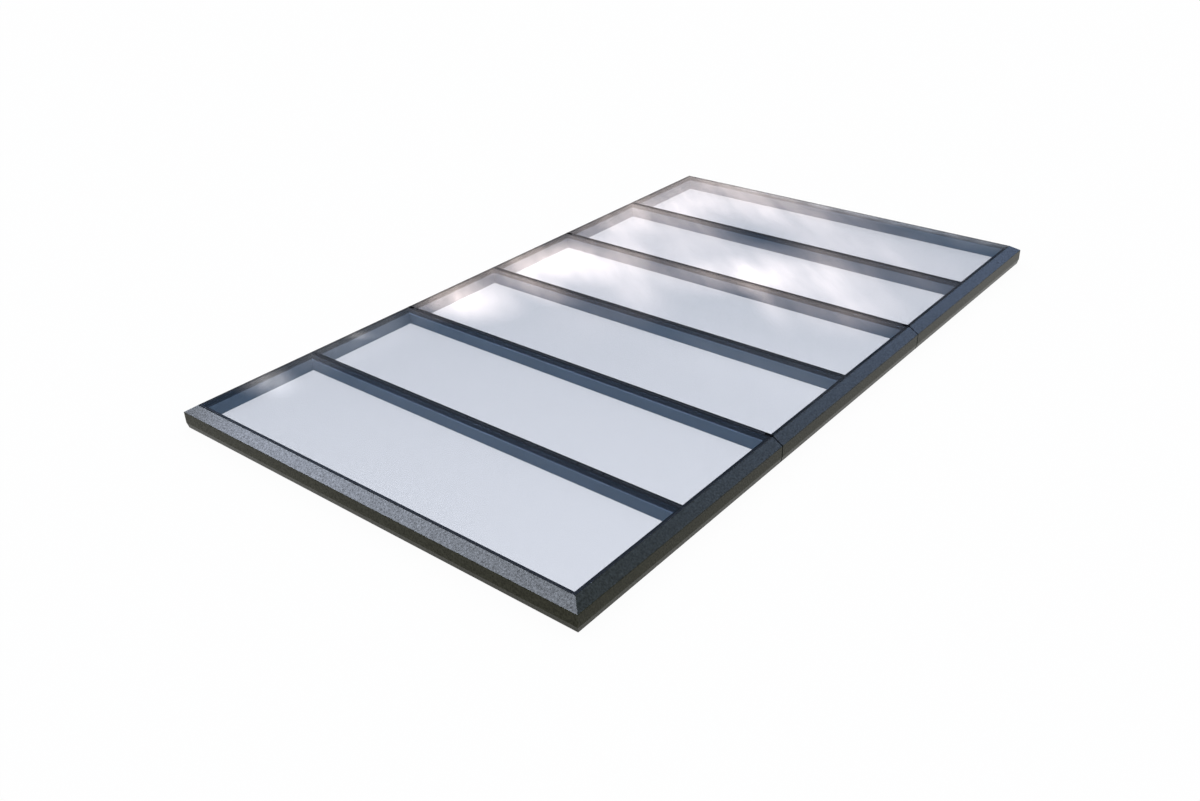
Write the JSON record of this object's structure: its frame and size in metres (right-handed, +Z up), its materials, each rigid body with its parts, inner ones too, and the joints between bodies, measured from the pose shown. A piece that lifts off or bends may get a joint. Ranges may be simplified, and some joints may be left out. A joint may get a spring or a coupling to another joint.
{
  "type": "roof skylight",
  "caption": "Fixed flat-roof skylight: a row of sealed glass units on a hollow aluminium frame, with sloped mitred capping that laps over the roof kerb.",
  "frame": {"origin": "under the centre of the skylight, level with the lower edge of the capping", "axes": "+X across the panes, +Y along the row of panes from the front end to the back end, +Z up"},
  "size_m": [2.882, 4.922, 0.1432],
  "materials": {
    "capping": "anthracite powder coat with a fine texture, on aluminium",
    "frame": "satin blue-grey powder coat, on aluminium",
    "outer_glass": "clear toughened float glass",
    "inner_glass": "clear laminated float glass",
    "spacer": "black warm-edge spacer",
    "edge_seal": "black secondary seal",
    "gasket": "black extruded rubber",
    "sealant": "black tooled silicone",
    "insulation": "rigid foam, cut",
    "block": "hard plastic setting block",
    "plug": "moulded black plastic",
    "clip": "spring steel strip",
    "key": "mill-finish aluminium",
    "fastener": "stainless steel"
  },
  "bodies": {
    "root": {"access_plugs": "plug", "bar_1": "frame", "bar_3": "frame", "bar_5": "frame", "bar_cleats": "key", "bed_gaskets": "gasket", "cap_back": "capping", "cap_clips": "clip", "cap_front": "capping", "cap_left_1": "capping", "cap_left_2": "capping", "cap_left_3": "capping", "cap_right_1": "capping", "cap_right_2": "capping", "cap_right_3": "capping", "cap_seam_seals": "gasket", "cleat_screws": "fastener", "clip_screws": "fastener", "corner_keys": "key", "coupling_bar_2a": "frame", "coupling_bar_2b": "frame", "coupling_bar_4a": "frame", "coupling_bar_4b": "frame", "coupling_bolts": "fastener", "coupling_gaskets": "gasket", "coupling_nuts": "fastener", "edge_blocks": "block", "edge_seals": "edge_seal", "inner_pane_1": "inner_glass", "inner_pane_2": "inner_glass", "inner_pane_3": "inner_glass", "inner_pane_4": "inner_glass", "inner_pane_5": "inner_glass", "inner_pane_6": "inner_glass", "insulation_ends": "insulation", "insulation_sides": "insulation", "outer_pane_1": "outer_glass", "outer_pane_2": "outer_glass", "outer_pane_3": "outer_glass", "outer_pane_4": "outer_glass", "outer_pane_5": "outer_glass", "outer_pane_6": "outer_glass", "pane_joints": "sealant", "perimeter_seal": "sealant", "rail_back": "frame", "rail_front": "frame", "rail_left_1": "frame", "rail_left_2": "frame", "rail_left_3": "frame", "rail_right_1": "frame", "rail_right_2": "frame", "rail_right_3": "frame", "seat_seal": "gasket", "spacer_1": "spacer", "spacer_2": "spacer", "spacer_3": "spacer", "spacer_4": "spacer", "spacer_5": "spacer", "spacer_6": "spacer"}
  },
  "joints": []
}
